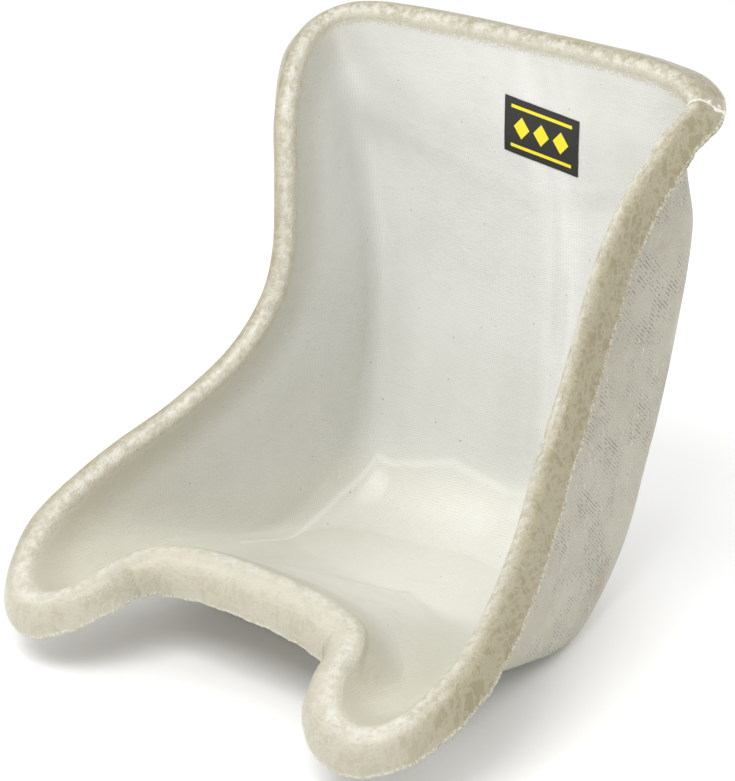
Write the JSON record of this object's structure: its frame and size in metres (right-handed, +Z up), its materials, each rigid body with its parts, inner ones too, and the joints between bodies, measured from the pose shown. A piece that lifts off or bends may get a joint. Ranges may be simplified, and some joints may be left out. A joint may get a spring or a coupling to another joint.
{
  "type": "kart racing seat",
  "caption": "Glass-fibre bucket seat for a racing kart: high back, wrap-round hips, rolled rim and two thigh horns beside a front cut-out.",
  "frame": {"origin": "centre of the flat place under the floor pan, on the seat's middle plane", "axes": "+X to the driver's left, +Y to the back of the seat, +Z up"},
  "size_m": [0.4822, 0.4703, 0.4851],
  "materials": {
    "woven_cloth": "milky translucent resin over fine woven glass cloth, glossy inside",
    "chopped_mat": "chopped-strand glass mat in resin, between the two cloths",
    "resin_rim": "resin-rich chopped glass mat, beige, rough at the free edge",
    "label_film": "black printed film with two yellow bars and a plain yellow shape"
  },
  "bodies": {
    "root": {"inner_cloth": "woven_cloth", "back_outer_cloth": "woven_cloth", "floor_outer_cloth": "woven_cloth", "shoulder_outer_cloth": "woven_cloth", "left_wall_outer_cloth": "woven_cloth", "lip_outer_cloth": "woven_cloth", "right_wall_outer_cloth": "woven_cloth", "back_mat": "chopped_mat", "floor_mat": "chopped_mat", "shoulder_mat": "chopped_mat", "left_wall_mat": "chopped_mat", "lip_mat": "chopped_mat", "right_wall_mat": "chopped_mat", "top_rim": "resin_rim", "left_rim": "resin_rim", "left_horn_rim": "resin_rim", "lip_rim": "resin_rim", "right_horn_rim": "resin_rim", "right_rim": "resin_rim", "label": "label_film"}
  },
  "joints": []
}
